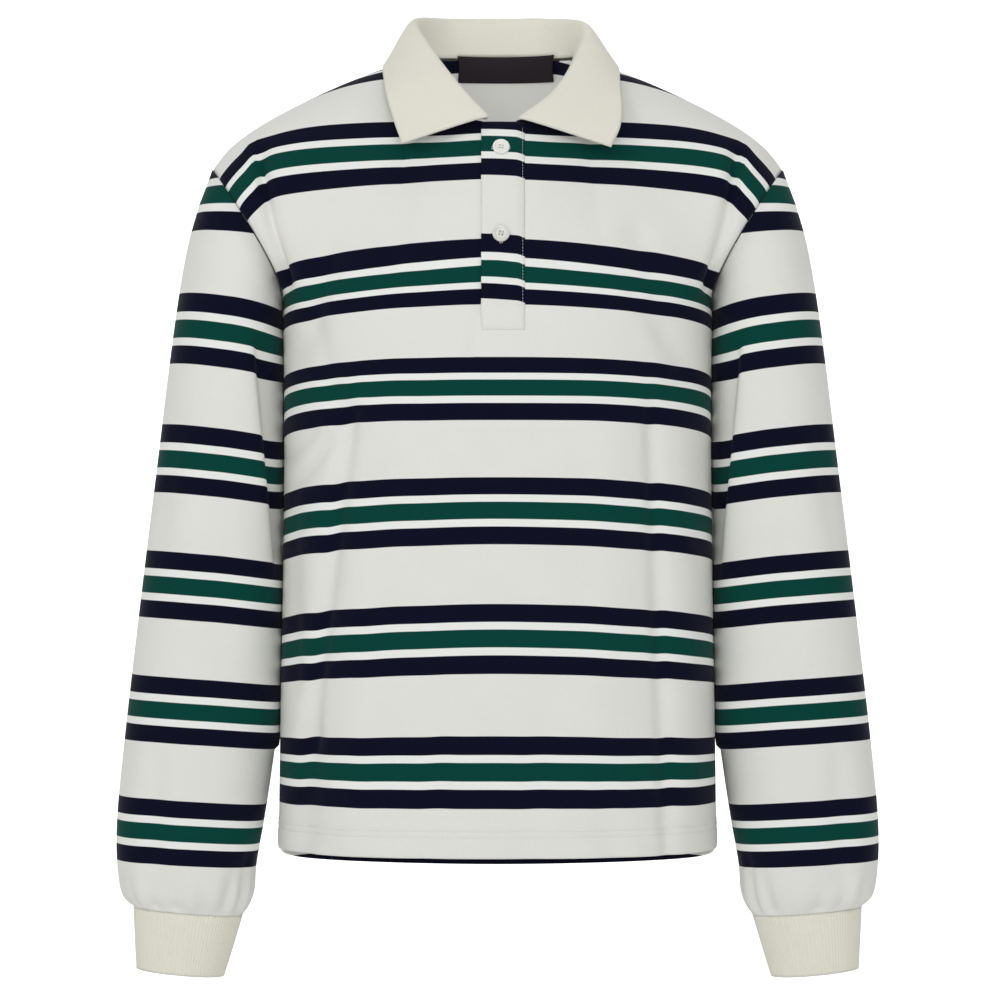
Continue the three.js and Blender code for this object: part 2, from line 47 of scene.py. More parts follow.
# Body: the same driving sizes as the frame, in millimetres
body = {
    "hemHeight": -655,
    "underarmHeight": -205,
    "squareness": 2.35,
    "backDip": 26.5,
    "backDipWidth": 181,
    "backDipShape": 0.28,
    "halfColumns": 70,
    "neckShare": 5 / 14,
    "hemRows": 24,
    "hemRowsTop": 0.075,
    "lowRows": 104,
    "armRows": 60,
    "wall": 1.6,
}
bodySections = table("z halfWidth front back", [
    (-655, 181.5, 115, 108),
    (-540, 180, 113, 104),
    (-420, 178, 112, 101),
    (-310, 177, 114, 106),
    (-205, 178, 113, 111),
])
armholeOut = np.array([0.883, 0, -0.469])
neckSide = np.array([66.0, 8.0, 0.0])
frontNeck = np.array([0.0, -72.0, -62.0])
backNeck = np.array([0.0, 62.0, 4.5])
neckPull = {"middle": 38, "side": 32, "frontHeight": -27, "backHeight": 1}
neckSteps = 200
shoulderPoints = [(66, 8, 0), (106, 6, -13), (150, 4, -32), (192, 2, -54), (220, 0, -74), (237, 0, -94)]
# How strongly, and which way, a panel leaves the chest and reaches the neck and the shoulder
panelPulls = {
    "frontChest": {"out": 0, "depth": 3, "rise": 165},
    "backChest": {"out": 0, "depth": 3, "rise": 205},
    "armhole": {"out": -20, "depth": 225, "rise": 62},
    "neck": {"out": 0, "depth": -70, "rise": 95},
    "shoulder": {"out": 0, "depth": -190, "rise": 46},
    "tip": {"out": 22, "depth": -235, "rise": 24},
}

# Folds run from top to bottom, with a width and a depth; a negative depth is a ridge
frontFolds = table("topX topZ bottomX bottomZ width depth", [
    (-196, -84, -175, -192, 8, 6),
    (198, -84, 176, -196, 8, 6),
    (-196, -92, -176, -190, 3.6, 5.5),
    (197, -92, 177, -192, 3.6, 5.5),
    (-137, -322, -168, -360, 6, 3.5),
    (-150, -312, -172, -336, 5, 2.5),
    (-119, -298, -154, -566, 8, 6),
    (-152, -560, -158, -655, 12, 4),
    (-168, -380, -166, -520, 8, 3),
    (-112, -420, -118, -640, 14, -2.5),
    (-75, -180, -70, -470, 22, -2),
    (124, -300, 138, -655, 7, 4.4),
    (150, -320, 156, -620, 12, -2),
    (92, -300, 84, -600, 24, -2.5),
    (-135, -170, -160, -250, 11, 3),
    (-150, -215, -128, -300, 9, 2.6),
    (112, -150, 150, -262, 11, 3),
    (102, -190, 134, -236, 7, 2),
    (-46, -520, -58, -655, 13, 2.6),
    (30, -560, 26, -655, 14, 2.2),
    (84, -590, 92, -655, 11, 2),
    (-16, -216, -20, -252, 4.5, 1.8),
    (-66, -100, -84, -190, 12, 1.8),
])
backFolds = table("topX topZ bottomX bottomZ width depth", [
    (-192, -90, -174, -196, 12, 7),
    (193, -90, 174, -192, 12, 7),
    (-190, -110, -175, -192, 4, 2.8),
    (190, -112, 175, -190, 4, 2.8),
    (-96, -240, -112, -480, 12, 5),
    (-118, -460, -130, -655, 14, 5.5),
    (70, -300, 96, -655, 13, 5.5),
    (112, -420, 126, -655, 16, -2.5),
    (-20, -350, -34, -640, 20, 3.5),
    (148, -240, 150, -480, 11, 4),
    (-140, -150, -160, -270, 10, 3),
    (20, -480, 28, -655, 13, 2.6),
    (120, -130, 156, -230, 9, 2.8),
    (-60, -70, -90, -180, 16, 2),
    (40, -60, 62, -190, 17, 2.2),
])

# Sleeves
sleeve = {
    "squareness": 2.2,
    "rows": 150,
    "restGap": 0.1,
    "restMost": 3.0,
    "restAbove": -575,
    "seamGap": 0.15,
    "gatherCount": 17,
    "gatherDepth": 1.7,
    "gatherHeight": 24,
}
sleeveSections = table("innerX innerZ outerX outerZ depth", [
    (211.5, -712, 302.5, -704.5, 33),
    (203, -694, 312, -692, 44),
    (200, -668, 316, -664, 49),
    (194, -634, 315.5, -628, 52),
    (187, -588, 311, -580, 53),
    (181, -540, 305.5, -530, 53),
    (180, -480, 298, -466, 52),
    (180, -420, 290, -400, 52),
    (180, -360, 281.5, -332, 53),
    (180, -310, 273, -262, 55),
    (180, -264, 264.5, -200, 57),
    (179.8, -232, 256.5, -156, 58),
    (179.4, -214, 247, -122, 57),
])
sleeveFolds = table("turn turnLow top bottom width depth sharp", [
    (0.18, 0.08, -236, -425, 0.036, 6, 1),
    (0.24, 0.215, -330, -520, 0.04, 2.2, 0),
    (0.33, 0.3, -560, -715, 0.035, 3.6, 0),
    (0.36, 0.39, -290, -420, 0.035, 1.8, 0),
    (0.66, 0.63, -240, -420, 0.05, 5, 0),
    (0.86, 0.89, -420, -640, 0.04, 4.5, 1),
    (0.58, 0.6, -600, -720, 0.04, 3, 0),
    (0.12, 0.16, -668, -720, 0.022, 3.4, 0),
    (0.075, 0.1, -655, -720, 0.02, 2.6, 0),
    (0.26, 0.27, -680, -720, 0.018, 1.8, 0),
    (0.42, 0.41, -670, -720, 0.02, 2, 0),
])
cuff = {"rows": 18, "ribs": 96, "pointsPerRib": 4, "ribDepth": 0.32, "wall": 1.9}
cuffBottom = {"innerX": 227, "innerZ": -763, "outerX": 300, "outerZ": -756, "depth": 30}

# Stripes: heights of the green bands above the hem, down the middle of the body
stripe = {"repeat": 101.0, "creaseSlope": 0.5, "foldShift": 0.22}
# The line on each half of a panel where the cloth turns down to the armhole
armCrease = {"topX": 197, "topZ": -84, "bottomX": 178, "bottomZ": -192}
bodyStripeHeights = [-41, 69.5, 176.5, 279, 377.2, 467.8, 576, 688, 790]
# How far each group of stripes drops towards the sides, and how late the drop begins
stripeDrops = table("z drop power", [
    (-607, 2, 1.7),
    (-492, 17, 1.8),
    (-378, 16.5, 1.9),
    (-283, 16, 3.2),
    (-183, 24, 1.25),
    (-90, 15.5, 2.3),
])
sleeveStripeHeights = [-739, -638.5, -539, -437, -334, -227, -117, -7]
firstBodyStripe = -1
firstSleeveStripe = -1

# Collar, from the middle of the back to the front end, on each side
collar = {"lift": 1.9, "inset": 1.6, "roll": 10.5, "columns": 132, "standRows": 10, "fallRows": 22,
          "leftEnd": 0.955, "rightEnd": 0.885, "backShare": 0.42, "frontShare": 0.58, "standPull": 1.2,
          "fallPull": 1.6, "edgePull": 0.9, "wall": 2.0}
collarLeft = table("foldX foldY foldZ edgeX edgeY edgeZ", [
    (0, 63, 38, 0, 84, -21),
    (42, 52, 37, 54, 66, -17),
    (69, 12, 31, 90, 8, -4.5),
    (58, -29, 6, 91.5, -46, -31),
    (35, -61, -28, 84, -75, -61),
    (9, -80, -59, 77, -90, -81),
])
collarRight = collarLeft[:2] + table("foldX foldY foldZ edgeX edgeY edgeZ", [
    (73, 9, 27, 94, 4, -5),
    (66, -27, -4, 100, -46, -33),
    (47, -58, -36, 100, -76, -63),
    (18.5, -78, -60, 91.5, -92, -84),
])

hem = {"top": 22.0, "rows": [17.0, 22.0], "thick": 0.8, "pinch": 0.7}
placket = {"left": -13, "right": 22, "bottom": -232, "top": -62.6, "gap": 0.6, "wall": 1.6,
           "columns": 19, "rows": 85, "sewnLift": 0.12}
placketSewing = {"left": -11.4, "right": 20.2, "bottom": -229.5, "boxTop": -213, "top": -66}
slit = {"left": -9, "right": 17, "bottom": -226}
button = {"x": 2.8, "heights": [-84, -155], "holeAt": 1.5, "faceLift": 2.55, "thread": 0.34,
          "bevel": 0.22, "slotHalf": 7.7}
sewing = {"pitch": 3.1, "length": 2.4, "thick": 0.24}
label = {"left": -37, "right": 52, "top": 6.8, "bottom": -13.5, "inset": 5.6, "bulge": 1.6,
         "wall": 0.8, "columns": 45, "rows": 12}


def smooth(low, high, value):
    t = np.clip((value - low) / (high - low), 0, 1)
    return t * t * (3 - 2 * t)


def rowAt(table, fraction):
    place = min(max(fraction, 0), 1) * (len(table) - 1)
    index = min(int(place), len(table) - 2)
    t = place - index
    row = {}
    for name in table[0]:
        b, c = table[index][name], table[index + 1][name]
        a = table[index - 1][name] if index > 0 else 2 * b - c
        d = table[index + 2][name] if index < len(table) - 2 else 2 * c - b
        row[name] = b + 0.5 * t * (c - a + t * (2 * a - 5 * b + 4 * c - d + t * (3 * (b - c) + d - a)))
    return row


def resample(line, fractions):
    lengths = np.concatenate([[0], np.cumsum(np.linalg.norm(np.diff(line, axis=0), axis=1))])
    wanted = np.asarray(fractions) * lengths[-1]
    return np.stack([np.interp(wanted, lengths, line[:, axis]) for axis in range(3)], axis=1)


def bezier(a, b, c, d, count=80):
    t = np.linspace(0, 1, count)[:, None]
    return (1 - t) ** 3 * a + 3 * t * (1 - t) ** 2 * b + 3 * t * t * (1 - t) * c + t ** 3 * d


def throughPoints(points, count=120):
    names = ["x", "y", "z"]
    table = [dict(zip(names, point)) for point in points]
    rows = [rowAt(table, fraction) for fraction in np.linspace(0, 1, count)]
    return np.array([[row[name] for name in names] for row in rows], float)


def hermite(start, startPull, end, endPull, t):
    return ((2 * t ** 3 - 3 * t ** 2 + 1) * start + (t ** 3 - 2 * t ** 2 + t) * startPull
            + (3 * t ** 2 - 2 * t ** 3) * end + (t ** 3 - t ** 2) * endPull)


def sectionAt(z):
    heights = [row["z"] for row in bodySections]
    return rowAt(bodySections, float(np.interp(z, heights, np.linspace(0, 1, len(heights)))))


def neckCurve(side):
    middle = frontNeck if side < 0 else backNeck
    height = neckPull["frontHeight"] if side < 0 else neckPull["backHeight"]
    return bezier(middle, np.array([neckPull["middle"], middle[1], middle[2]]),
                  np.array([neckSide[0], neckSide[1] + side * neckPull["side"], height]), neckSide)


def pullOf(name, side):
    pull = panelPulls[name]
    return np.array([pull["out"], side * pull["depth"], pull["rise"]])


def halfPanel(side):
    half = body["halfColumns"]
    fractions = np.linspace(0, 1, half + 1)
    angle = np.linspace(0, math.pi / 2, 241)
    rows = []
    shares = np.concatenate([np.linspace(0, body["hemRowsTop"], body["hemRows"], endpoint=False),
                             np.linspace(body["hemRowsTop"], 1, body["lowRows"] + 1 - body["hemRows"])])
    for share in shares:
        z = body["hemHeight"] + share * (body["underarmHeight"] - body["hemHeight"])
        section = sectionAt(z)
        depth = section["front"] if side < 0 else section["back"]
        power = 2 / body["squareness"]
        line = np.stack([section["halfWidth"] * np.sin(angle) ** power,
                         side * depth * np.abs(np.cos(angle)) ** power, np.full_like(angle, z)], axis=1)
        points = resample(line, fractions)
        if side > 0:
            fromMiddle = np.minimum(points[:, 0] / body["backDipWidth"], 1)
            dip = np.maximum(np.cos(fromMiddle * math.pi / 2), 0) ** body["backDipShape"]
            points[:, 2] -= body["backDip"] * (1 - share) ** 3 * dip
        rows.append(points)
    neckColumns = round(half * body["neckShare"])
    neck = resample(neckCurve(side), np.arange(neckColumns) / neckColumns)
    shoulder = resample(throughPoints(shoulderPoints), np.linspace(0, 1, half - neckColumns + 1))
    top = np.concatenate([neck, shoulder])
    atArmhole = (smooth(0.5, 1, fractions) ** 1.6)[:, None]
    start = (1 - atArmhole) * pullOf("frontChest" if side < 0 else "backChest", side)
    start = start + atArmhole * pullOf("armhole", side)
    atShoulder = smooth(0, body["neckShare"] * 1.3, fractions)[:, None]
    end = (1 - atShoulder) * pullOf("neck", side) + atShoulder * pullOf("shoulder", side)
    atTip = smooth(body["neckShare"], 1, fractions)[:, None]
    end = (1 - atTip) * end + atTip * pullOf("tip", side)
    chest = rows[-1]
    for t in np.linspace(0, 1, body["armRows"] + 1)[1:]:
        rows.append(hermite(chest, start, top, end, t))
    return np.array(rows)


def wholePanel(side):
    right = halfPanel(side)
    left = right[:, :0:-1].copy()
    left[:, :, 0] *= -1
    across = np.concatenate([left, right], axis=1)
    return across if side < 0 else across[:, ::-1].copy()


def gridNormals(grid, closed=False):
    if closed:
        across = np.roll(grid, -1, axis=1) - np.roll(grid, 1, axis=1)
    else:
        across = np.gradient(grid, axis=1)
    normals = np.cross(across, np.gradient(grid, axis=0))
    return normals / np.maximum(np.linalg.norm(normals, axis=2, keepdims=True), 1e-9)


def creasePanel(grid, folds):
    normals = gridNormals(grid)
    rowCount, columnCount = grid.shape[:2]
    rows, columns = np.mgrid[0:rowCount, 0:columnCount]
    fromSide = np.minimum(columns, columnCount - 1 - columns) / (body["halfColumns"] / 7)
    fromTop = (rowCount - 1 - rows) / (body["armRows"] / 7)
    depth = np.zeros((rowCount, columnCount))
    for fold in folds:
        runX, runZ = fold["bottomX"] - fold["topX"], fold["bottomZ"] - fold["topZ"]
        offX, offZ = grid[:, :, 0] - fold["topX"], grid[:, :, 2] - fold["topZ"]
        place = np.clip((offX * runX + offZ * runZ) / (runX ** 2 + runZ ** 2), 0, 1)
        away = np.hypot(offX - place * runX, offZ - place * runZ)
        depth += fold["depth"] * np.exp(-(away / fold["width"]) ** 2)
    return grid - normals * (depth * np.clip(np.minimum(fromSide, fromTop), 0, 1))[:, :, None]


def seamGroove(grid, edges, depth=0.9, reach=2.6):
    normals = gridNormals(grid)
    groove = np.zeros(grid.shape[:2])
    for edge in edges:
        line = {"left": grid[:, :1], "right": grid[:, -1:], "top": grid[-1:], "bottom": grid[:1]}[edge]
        away = np.linalg.norm(grid - line, axis=2)
        groove = np.maximum(groove, depth * np.exp(-(away / reach) ** 2))
    return grid - normals * groove[:, :, None]


def doubleHem(grid):
    normals = gridNormals(grid)
    up = alongRows(grid)
    thick = hem["thick"] * (1 - smooth(hem["top"] + 1.5, hem["top"] + 4, up))
    thick -= 0.8 * hem["thick"] * np.exp(-(up / 1.6) ** 2)
    for row in hem["rows"]:
        thick -= hem["pinch"] * np.exp(-((up - row) / 1.3) ** 2)
    return grid + normals * thick[:, :, None]


def alongRows(grid):
    steps = np.linalg.norm(np.diff(grid, axis=0), axis=2)
    return np.concatenate([np.zeros((1, grid.shape[1])), np.cumsum(steps, axis=0)])


def acrossColumns(grid):
    steps = np.linalg.norm(np.diff(grid, axis=1), axis=2)
    across = np.concatenate([np.zeros((grid.shape[0], 1)), np.cumsum(steps, axis=1)], axis=1)
    return across - across[:, grid.shape[1] // 2][:, None]


def sleevePhase(z, turn):
    inner = ((1 + np.cos(turn * 2 * math.pi)) / 2) ** 1.7
    drop = inner * np.interp(z, [-740, -650, -230, -110], [3, 7, 15, 10])
    main = sleeveFolds[0]
    side, window = foldPlace(main, turn, z)
    drop = drop + 2.6 * smooth(0.3, -0.5, side) * np.exp(-(np.minimum(side, 0) / 4) ** 2) * window
    return np.interp(z + drop, sleeveStripeHeights, np.arange(len(sleeveStripeHeights)) + firstSleeveStripe)


def stripeShift(grid, folds):
    shift = np.zeros(grid.shape[:2])
    for fold in folds:
        runX, runZ = fold["bottomX"] - fold["topX"], fold["bottomZ"] - fold["topZ"]
        offX, offZ = grid[:, :, 0] - fold["topX"], grid[:, :, 2] - fold["topZ"]
        place = (offX * runX + offZ * runZ) / (runX ** 2 + runZ ** 2)
        side = (offX * runZ - offZ * runX) / math.hypot(runX, runZ) / fold["width"]
        window = smooth(-0.25, 0.1, place) * (1 - smooth(0.9, 1.25, place))
        shift += stripe["foldShift"] * fold["depth"] * side * np.exp(-side ** 2) * window
    return shift


def bodyPhase(grid, folds):
    columnCount = grid.shape[1]
    half = columnCount // 2
    share = (np.abs(np.arange(columnCount) - half) / half)[None, :]
    along = alongRows(grid)
    along += grid[0, :, 2] - body["hemHeight"]  # the back's dipping hem
    x, z = np.abs(grid[:, :, 0]), grid[:, :, 2]
    level = np.interp(z, z[:, half], along[:, half])
    join = body["lowRows"] + body["armRows"] // 3
    level[join:] = level[join] + along[join:] - along[join]
    levels = [row["z"] for row in stripeDrops]
    drop = np.interp(z, levels, [row["drop"] for row in stripeDrops])
    power = np.interp(z, levels, [row["power"] for row in stripeDrops])
    line = armCrease
    down = (line["topZ"] - z) / (line["topZ"] - line["bottomZ"])
    past = x - line["topX"] + down * (line["topX"] - line["bottomX"])
    turn = stripe["creaseSlope"] * (np.logaddexp(0, past / 1.5) * 1.5) * smooth(-168, -132, z)
    height = level + drop * share ** power + turn + stripeShift(grid, folds)
    return np.interp(height, bodyStripeHeights, np.arange(len(bodyStripeHeights)) + firstBodyStripe)


def insideSlit(point, hole):
    return hole["left"] < point.x < hole["right"] and point.z > hole["bottom"]


def makeSheet(name, grid, phase=None, closed=False, wall=1.6, hole=None):
    rowCount, columnCount = grid.shape[:2]
    ring = np.concatenate([grid, grid[:, :1]], axis=1) if closed else grid
    steps = ring.shape[1] - 1
    across = acrossColumns(ring)
    along = alongRows(ring)
    if phase is None:
        phase = np.zeros(ring.shape[:2])
    elif closed:
        phase = np.concatenate([phase, phase[:, :1]], axis=1)
    mesh = bpy.data.meshes.new(name)
    shape = bmesh.new()
    bmesh.ops.create_grid(shape, x_segments=steps, y_segments=rowCount - 1, size=1)
    places = {}
    for vert in shape.verts:
        column = round((vert.co.x + 1) / 2 * steps)
        row = round((vert.co.y + 1) / 2 * (rowCount - 1))
        places[vert] = (row, column)
    clothMap = shape.loops.layers.uv.new("cloth")
    stripeMap = shape.loops.layers.uv.new("stripes")
    for face in shape.faces:
        face.smooth = True
        for loop in face.loops:
            row, column = places[loop.vert]
            loop[clothMap].uv = (across[row, column] * mm, along[row, column] * mm)
            loop[stripeMap].uv = (phase[row, column], 0.5)
    for vert, (row, column) in places.items():
        vert.co = ring[row, column] * mm
    if hole:
        inside = [face for face in shape.faces if insideSlit(face.calc_center_median() / mm, hole)]
        bmesh.ops.delete(shape, geom=inside, context="FACES")
    if closed:
        bmesh.ops.remove_doubles(shape, verts=shape.verts, dist=1e-6)
    shape.to_mesh(mesh)
    shape.free()
    piece = bpy.data.objects.new(name, mesh)
    bpy.context.collection.objects.link(piece)
    solidify = piece.modifiers.new("wall", "SOLIDIFY")
    solidify.thickness = wall * mm
    solidify.offset = -1
    solidify.use_even_offset = False
    return piece


def mirrored(grid):
    flipped = grid[:, ::-1].copy()
    flipped[:, :, 0] *= -1
    return flipped


def sleeveRing(section, angles):
    cosine, sine = np.cos(angles), np.sin(angles)
    power = 2 / sleeve["squareness"]
    along = np.sign(cosine) * np.abs(cosine) ** power
    deep = np.sign(sine) * np.abs(sine) ** power
    middleX = (section["innerX"] + section["outerX"]) / 2
    middleZ = (section["innerZ"] + section["outerZ"]) / 2
    return np.stack([
        middleX + along * (section["innerX"] - section["outerX"]) / 2,
        -deep * section["depth"],
        middleZ + along * (section["innerZ"] - section["outerZ"]) / 2,
    ], axis=1)


def foldPlace(fold, turn, z):
    down = np.clip((fold["top"] - z) / (fold["top"] - fold["bottom"]), 0, 1)
    line = fold["turn"] + (fold["turnLow"] - fold["turn"]) * down
    above = smooth(fold["bottom"] - 12, fold["bottom"] + 35, z)
    below = 1 - smooth(fold["top"] - 35, fold["top"] + 15, z)
    return (turn - line) / fold["width"], above * below


def sleeveGrid(front, back):
    ringCount = 2 * body["armRows"]
    angles = np.arange(ringCount) / body["armRows"] * math.pi
    rows = []
    for share in np.linspace(0, 1, sleeve["rows"]):
        section = rowAt(sleeveSections, share)
        beside = sectionAt(section["innerZ"])["halfWidth"] + sleeve["restGap"]
        if section["innerZ"] > sleeve["restAbove"]:
            section["innerX"] = min(section["innerX"], max(beside, section["innerX"] - sleeve["restMost"]))
        rows.append(sleeveRing(section, angles))
    low = body["lowRows"]
    armhole = np.concatenate([front[low:, -1], back[low + 1:-1, 0][::-1]])
    rows.append(armhole + armholeOut * sleeve["seamGap"])
    grid = np.array(rows)
    normals = gridNormals(grid, closed=True)
    turn = (np.arange(ringCount) / ringCount)[None, :]
    z = grid[:, :, 2]
    fromCuff = (z - sleeveSections[0]["outerZ"]) / sleeve["gatherHeight"]
    wave = np.cos(turn * sleeve["gatherCount"] * 2 * math.pi + 0.9 * np.sin(turn * 4 * math.pi))
    wave = wave * (0.7 + 0.3 * np.sin(turn * 6 * math.pi + 1))
    move = sleeve["gatherDepth"] * wave * np.exp(-fromCuff ** 2)
    for fold in sleeveFolds:
        side, window = foldPlace(fold, turn, z)
        soft = np.exp(-side ** 2)
        step = smooth(0.15, -0.5, side) * np.exp(-(np.minimum(side, 0) / 2.3) ** 2)
        step = step - 0.35 * np.exp(-(side - 0.5) ** 2)
        move = move - fold["depth"] * (step if fold["sharp"] else soft) * window
    count = np.arange(grid.shape[0])
    fade = (smooth(0, 4, count) * smooth(0, 8, grid.shape[0] - 1 - count))[:, None]
    seam = 0.7 * np.exp(-(np.minimum(turn, 1 - turn) / 0.006) ** 2)
    return grid + normals * ((move - seam) * fade)[:, :, None]


def placeOn(grid, values, x, z):
    order = np.argsort(grid[0, :, 0])
    columnZ = np.array([np.interp(x, row[order, 0], row[order, 2]) for row in grid])
    columnValue = np.array([np.interp(x, row[order, 0], value[order]) for row, value in zip(grid, values)])
    return np.interp(z, columnZ, columnValue)


def patch(grid, xs, zs):
    return np.array([[(x, placeOn(grid, grid[:, :, 1], x, z), z) for x in xs] for z in zs])


def dress(piece, material, node):
    piece.data.materials.append(material)
    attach(piece, "root")
    if node:
        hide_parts(node)


def lineAtRow(grid, up):
    heights = alongRows(grid)
    return np.array([[np.interp(up, heights[:, column], grid[:, column, axis]) for axis in range(3)]
                     for column in range(grid.shape[1])])


def sewRow(shape, line, facing, pitch=None, length=None, thick=None, slant=0.0):
    pitch, length = pitch or sewing["pitch"], length or sewing["length"]
    thick = thick or sewing["thick"]
    total = np.linalg.norm(np.diff(line, axis=0), axis=1).sum()
    count = max(int(total / pitch), 1)
    middles = resample(line, (np.arange(count) + 0.5) / count)
    ahead = resample(line, np.minimum((np.arange(count) + 0.9) / count, 1))
    outward = resample(facing, (np.arange(count) + 0.5) / count)
    for middle, nextPoint, out in zip(middles, ahead, outward):
        run = Vector(nextPoint - middle).normalized()
        out = Vector(out).normalized()
        side = out.cross(run).normalized()
        run = (run * math.cos(slant) + side * math.sin(slant)).normalized()
        side = out.cross(run).normalized()
        axes = (side * thick * mm, out * thick * 0.7 * mm, run * length / 2 * mm)
        place = Matrix(axes).transposed().to_4x4()
        place.translation = (Vector(middle) + out * thick * 0.35) * mm
        bmesh.ops.create_uvsphere(shape, u_segments=6, v_segments=4, radius=1, matrix=place)


def sewnPiece(name, rows, material, slotName, **sizes):
    mesh = bpy.data.meshes.new(name)
    for line, facing in rows:
        line, facing = np.asarray(line, float), np.asarray(facing, float)
        parts = max(len(line) // 24, 1)
        for part in range(parts):
            shape = bmesh.new()
            first, last = part * (len(line) - 1) // parts, (part + 1) * (len(line) - 1) // parts
            low, high = part * (len(facing) - 1) // parts, (part + 1) * (len(facing) - 1) // parts
            sewRow(shape, line[first:last + 1], facing[low:high + 1], **sizes)
            for face in shape.faces:
                face.smooth = True
            shape.from_mesh(mesh)
            shape.to_mesh(mesh)
            shape.free()
    piece = bpy.data.objects.new(name, mesh)
    bpy.context.collection.objects.link(piece)
    dress(piece, material, None)
    return piece


def threadMaterial(name, colour):
    material = bpy.data.materials.new(name)
    material.use_nodes = True
    tree = material.node_tree
    shader = tree.nodes["Principled BSDF"]
    shader.inputs["Roughness"].default_value = 0.6
    shader.inputs["Sheen Weight"].default_value = 0.3
    place = addNode(tree, "ShaderNodeTexCoord", (-900, 0))
    twist = addNode(tree, "ShaderNodeTexNoise", (-700, 0))
    twist.inputs["Scale"].default_value = 900.0
    tree.links.new(place.outputs["Object"], twist.inputs["Vector"])
    darker = tuple(channel * 0.82 for channel in colour)
    twisted = mixColour(tree, (-300, 0), twist.outputs["Fac"], darker, colour)
    tree.links.new(twisted, shader.inputs["Base Color"])
    return material


def addNode(tree, kind, place, **values):
    node = tree.nodes.new(kind)
    node.location = place
    for name, value in values.items():
        setattr(node, name, value)
    return node


def mathNode(tree, operation, place, first, second=None, third=None):
    node = addNode(tree, "ShaderNodeMath", place, operation=operation)
    for index, value in enumerate((first, second, third)):
        if value is None:
            continue
        if isinstance(value, (int, float)):
            node.inputs[index].default_value = value
        else:
            tree.links.new(value, node.inputs[index])
    return node.outputs[0]


def newGroup(name, inputs, outputs):
    group = bpy.data.node_groups.new(name, "ShaderNodeTree")
    for socketName, kind, value in inputs:
        socket = group.interface.new_socket(socketName, in_out="INPUT", socket_type=kind)
        if value is not None:
            socket.default_value = value
    for socketName, kind in outputs:
        group.interface.new_socket(socketName, in_out="OUTPUT", socket_type=kind)
    start = addNode(group, "NodeGroupInput", (-900, 0))
    end = addNode(group, "NodeGroupOutput", (900, 0))
    return group, start, end


def stripeBandsGroup():
    group, start, end = newGroup("stripeBands", [
        ("Place", "NodeSocketVector", None),
        ("Repeat", "NodeSocketFloat", stripe["repeat"]),
        ("Green Half", "NodeSocketFloat", 6.9),
        ("Navy Start", "NodeSocketFloat", 12.9),
        ("Navy End", "NodeSocketFloat", 27.0),
        ("Edge", "NodeSocketFloat", 0.35),
    ], [("Green", "NodeSocketFloat"), ("Navy", "NodeSocketFloat"), ("Inside", "NodeSocketFloat")])
    split = addNode(group, "ShaderNodeSeparateXYZ", (-700, 100))
    group.links.new(start.outputs["Place"], split.inputs[0])
    shifted = mathNode(group, "ADD", (-550, 100), split.outputs[0], 0.5)
    folded = mathNode(group, "FRACT", (-400, 100), shifted)
    centred = mathNode(group, "SUBTRACT", (-250, 100), folded, 0.5)
    away = mathNode(group, "MULTIPLY", (-100, 100), mathNode(group, "ABSOLUTE", (-180, 100), centred),
                    start.outputs["Repeat"])

    def edgeAt(limit, place):
        offset = mathNode(group, "SUBTRACT", place, away, start.outputs[limit])
        scaled = mathNode(group, "DIVIDE", (place[0] + 140, place[1]), offset, start.outputs["Edge"])
        node = addNode(group, "ShaderNodeClamp", (place[0] + 420, place[1]))
        group.links.new(mathNode(group, "ADD", (place[0] + 280, place[1]), scaled, 0.5), node.inputs[0])
        return node.outputs[0]

    pastGreen = edgeAt("Green Half", (80, 300))
    pastStart = edgeAt("Navy Start", (80, 100))
    pastEnd = edgeAt("Navy End", (80, -100))
    group.links.new(mathNode(group, "SUBTRACT", (700, 300), 1.0, pastGreen), end.inputs["Green"])
    group.links.new(mathNode(group, "SUBTRACT", (700, 100), pastStart, pastEnd), end.inputs["Navy"])
    group.links.new(mathNode(group, "SUBTRACT", (700, -100), 1.0, pastEnd), end.inputs["Inside"])
    return group


